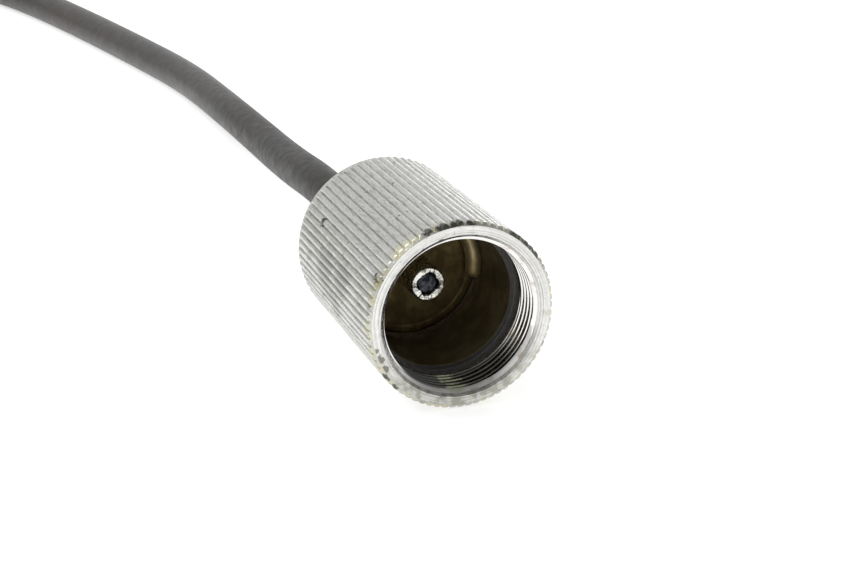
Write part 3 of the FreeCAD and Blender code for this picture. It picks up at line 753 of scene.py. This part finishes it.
def disc_edge(finish):
    """The brown disc's turned edge, which comes close to the chamber's wall."""
    low, high = box_of("end_ferrule")
    flange_radius = (high.x - low.x) / 2
    edge_radius = chamber_radius - 0.07
    inner_radius = flange_radius - flange_edge_chamfer
    profile = [
        (inner_radius, flange_front + 0.02),
        (edge_radius - 0.05, flange_front + 0.02),
        (edge_radius, flange_front + 0.08),
        (edge_radius, flange_front + 0.6),
        (inner_radius, flange_front + 0.6),
    ]
    edge = lathe("disc_edge", profile, finish, columns=160, width=0.03)
    return place_piece(edge, "root", "brass_dark")


def wire_ring():
    """The open ring of round wire, with rounded ends, a little uneven along its length."""
    first = math.radians(-6.0)
    span = math.radians(205.0)
    low, high = box_of("retaining_ring")
    wire_radius = (high.y - low.y) / 2
    ring_radius = high.x - wire_radius
    ring_y = (low.y + high.y) / 2
    steps = 150
    round_steps = 8
    sides = 24
    tip = wire_radius / ring_radius
    round_angles = [k * math.pi / 2 / round_steps for k in range(round_steps)]
    stations = [(first - tip * math.cos(a), math.sin(a)) for a in round_angles]
    stations += [(first + span * k / steps, 1.0) for k in range(steps + 1)]
    stations += [(first + span + tip * math.cos(a), math.sin(a)) for a in reversed(round_angles)]
    vertices = []
    for angle, share in stations:
        for side in range(sides):
            a = 2 * math.pi * side / sides
            spot = Vector((5 * math.cos(angle), 5 * math.sin(angle), side * 0.2))
            r = wire_radius * share * (1 + 0.02 * noise.noise(spot * 1.5))
            across = ring_radius + r * math.cos(a)
            vertices.append((across * math.cos(angle), ring_y + r * math.sin(a), across * math.sin(angle)))
    faces = quads(len(stations), sides, False, True)
    finish = tarnished_finish("brown_wire", (0.40, 0.31, 0.14), (0.62, 0.50, 0.27), 0.55)
    ring = new_object("wire_ring", vertices, faces, [finish])
    return place_piece(ring, "nut", "clip_wire", "retaining_ring")


# The cable

# The route's points, which the cable's free length follows from the nut to the coil
lead_points = [
    (0.0, 18.85, 0.0),
    (0.0, 33.5, 0.0),
    (0.9, 47.0, -1.9),
    (2.3, 62.5, -3.7),
    (3.2, 78.5, -5.1),
    (2.9, 93.0, cable_on_floor),
    (0.3, 107.0, cable_on_floor),
    (-2.6, 121.0, cable_on_floor),
    (-6.1, 135.5, cable_on_floor),
    (-10.7, 148.2, cable_on_floor),
]


def coil_point(degrees):
    """A point of the put-away coil: two layers, each climb spread over a stretch of a turn."""
    cable_on_coil = cable_on_floor + 2 * sheath_radius + coil_layer_gap
    climbs = ((200.0, 180.0, cable_on_floor, cable_on_coil), (388.0, 152.0, cable_on_coil, handle_z))
    height = cable_on_floor
    for start, turn, low, high in climbs:
        if degrees > start:
            height = low + (high - low) * smooth_step(0.0, turn, degrees - start)
    angle = math.radians(degrees)
    return (
        coil_centre[0] + coil_radius * math.cos(angle),
        coil_centre[1] + coil_radius * math.sin(angle),
        height,
    )


def cable():
    points = list(lead_points)
    count = int((coil_last_degrees - coil_first_degrees) / coil_step_degrees)
    points += [coil_point(coil_first_degrees + coil_step_degrees * k) for k in range(count + 1)]
    points += [(handle_x, y, handle_z) for y in (144.0, 136.5, 129.15)]
    curve = bpy.data.curves.new("sheathed_cable", "CURVE")
    curve.dimensions = "3D"
    curve.bevel_depth = sheath_radius * MM
    curve.bevel_resolution = 8
    curve.resolution_u = 12
    curve.use_fill_caps = True
    spline = curve.splines.new("NURBS")
    spline.points.add(len(points) - 1)
    for point, (x, y, z) in zip(spline.points, points):
        point.co = (x * MM, y * MM, z * MM, 1.0)
    spline.order_u = 3
    spline.use_endpoint_u = True
    curve.materials.append(vinyl_finish())
    piece = bpy.data.objects.new("sheathed_cable", curve)
    bpy.context.scene.collection.objects.link(piece)
    cable_nodes = ("cable_sheath_lead", "cable_sheath_coil", "wound_conduit", "release_wire")
    place_piece(piece, "root", "sheath", *cable_nodes)
    return piece


# Finishes of the carried-over pieces


def dress_cad_nodes():
    satin = satin_finish("nickel_satin", (0.62, 0.62, 0.60), (0.72, 0.71, 0.68))
    brass = steel_finish("turned_brass", (0.48, 0.34, 0.14), (0.66, 0.50, 0.24), (0.24, 0.38))
    ground = steel_finish("ground_steel", (0.55, 0.55, 0.56), (0.68, 0.68, 0.68), (0.18, 0.3))
    blued = steel_finish("blued_steel", (0.14, 0.15, 0.18), (0.26, 0.27, 0.30), (0.28, 0.42))
    spring = steel_finish("spring_wire", (0.42, 0.42, 0.43), (0.58, 0.58, 0.58), (0.25, 0.36))
    tip = tip_finish()
    disc = tarnished_finish("brown_disc", (0.085, 0.060, 0.022), (0.21, 0.155, 0.062))
    finishes = {
        "end_ferrule": disc,
        "friction_washer": fibre_finish(),
        "release_pin": tip,
        "nut_sleeve": satin,
        "strain_relief": rubber_finish(),
        "barrel_end_cap": satin,
        "handle_barrel": satin,
        "grub_screws": blued,
        "finger_flange": satin,
        "spring_seat": brass,
        "return_spring": spring,
        "spring_collar": brass,
        "guide_bush": brass,
        "lock_ball": ground,
        "lock_collar": satin,
        "collar_circlip": blued,
        "plunger_rod": ground,
        "thumb_button": satin,
        "button_screw": blued,
    }
    disc_edge(disc)
    for name, material in finishes.items():
        slots = cad[name].data.materials
        slots.clear()
        slots.append(material)


def squash_return_spring():
    """Gives the return spring its own copy of its mesh."""
    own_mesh(cad["return_spring"])


# Floor, light and camera


def floor():
    """A wide pale floor, white to the camera and in reflections, that keeps the soft shadow."""
    half = 2000.0
    z = nut_low.z
    corners = [(-half, -half, z), (half, -half, z), (half, half, z), (-half, half, z)]
    mesh = bpy.data.meshes.new("floor")
    mesh.from_pydata([Vector(c) * MM for c in corners], [], [(0, 1, 2, 3)])
    made = bpy.data.objects.new("floor", mesh)
    bpy.context.scene.collection.objects.link(made)
    material = bpy.data.materials.new("pale_floor")
    material.use_nodes = True
    tree = material.node_tree
    tree.nodes.clear()
    diffuse = tree.nodes.new("ShaderNodeBsdfDiffuse")
    diffuse.inputs["Color"].default_value = (0.82, 0.82, 0.82, 1.0)
    glow = tree.nodes.new("ShaderNodeEmission")
    path = tree.nodes.new("ShaderNodeLightPath")
    seen = tree.nodes.new("ShaderNodeMath")
    seen.operation = "MAXIMUM"
    clear = tree.nodes.new("ShaderNodeMath")
    clear.operation = "MAXIMUM"
    level = tree.nodes.new("ShaderNodeMath")
    level.operation = "MULTIPLY"
    level.inputs[1].default_value = 0.62
    both = tree.nodes.new("ShaderNodeAddShader")
    output = tree.nodes.new("ShaderNodeOutputMaterial")
    tree.links.new(path.outputs["Is Camera Ray"], seen.inputs[0])
    tree.links.new(path.outputs["Is Glossy Ray"], seen.inputs[1])
    tree.links.new(seen.outputs[0], clear.inputs[0])
    tree.links.new(path.outputs["Is Transmission Ray"], clear.inputs[1])
    tree.links.new(clear.outputs[0], level.inputs[0])
    tree.links.new(level.outputs[0], glow.inputs["Strength"])
    tree.links.new(diffuse.outputs[0], both.inputs[0])
    tree.links.new(glow.outputs[0], both.inputs[1])
    tree.links.new(both.outputs[0], output.inputs["Surface"])
    mesh.materials.append(material)


def aim(made, place, target):
    """Puts an object at a place with its -Z axis towards the target."""
    direction = Vector(target) - Vector(place)
    turn = direction.to_track_quat("-Z", "Y").to_matrix().to_4x4()
    made.matrix_world = Matrix.Translation(Vector(place) * MM) @ turn


def soft_box(name, place, size, power):
    lamp = bpy.data.lights.new(name, "AREA")
    lamp.shape = "SQUARE"
    lamp.size = size * MM
    lamp.energy = power
    made = bpy.data.objects.new(name, lamp)
    bpy.context.scene.collection.objects.link(made)
    aim(made, place, (-10.0, 40.0, 0.0))


def studio_world():
    """Even pale surroundings, darker in one broad patch high on the camera's right."""
    world = bpy.data.worlds.new("studio")
    bpy.context.scene.world = world
    world.use_nodes = True
    tree = world.node_tree
    background = tree.nodes["Background"]
    background.inputs["Color"].default_value = (1.0, 1.0, 1.0, 1.0)
    place = tree.nodes.new("ShaderNodeTexCoord")
    dot = tree.nodes.new("ShaderNodeVectorMath")
    dot.operation = "DOT_PRODUCT"
    dark_side = Vector((0.42, -0.55, 0.72)).normalized()
    dot.inputs[1].default_value = dark_side
    level = tree.nodes.new("ShaderNodeMapRange")
    level.interpolation_type = "SMOOTHSTEP"
    level.inputs["From Min"].default_value = 0.45
    level.inputs["From Max"].default_value = 0.95
    level.inputs["To Min"].default_value = 0.68
    level.inputs["To Max"].default_value = 0.27
    tree.links.new(place.outputs["Generated"], dot.inputs[0])
    tree.links.new(dot.outputs["Value"], level.inputs["Value"])
    tree.links.new(level.outputs["Result"], background.inputs["Strength"])


def camera():
    """The photograph's viewpoint: heading to the right of +Y, and looking down."""
    place = Vector((-58.86, -159.09, 62.82))
    heading = math.radians(19.391)
    pitch = math.radians(19.564)
    view = bpy.data.cameras.new("camera")
    view.lens = 105.0
    view.sensor_width = 36.0
    view.sensor_fit = "HORIZONTAL"
    view.clip_start = 5 * MM
    view.clip_end = 20.0
    made = bpy.data.objects.new("camera", view)
    bpy.context.scene.collection.objects.link(made)
    turn = Matrix.Rotation(-heading, 4, "Z") @ Matrix.Rotation(math.pi / 2 - pitch, 4, "X")
    made.matrix_world = Matrix.Translation(place * MM) @ turn
    bpy.context.scene.camera = made


bell_nut()
nose_lip()
wire_ring()
cable()
dress_cad_nodes()
squash_return_spring()
floor()
studio_world()
soft_box("key_light", (-320.0, 60.0, 420.0), 260.0, 0.7)
soft_box("rim_light", (330.0, 380.0, 260.0), 300.0, 0.6)
camera()
bpy.context.scene.view_settings.view_transform = "Standard"
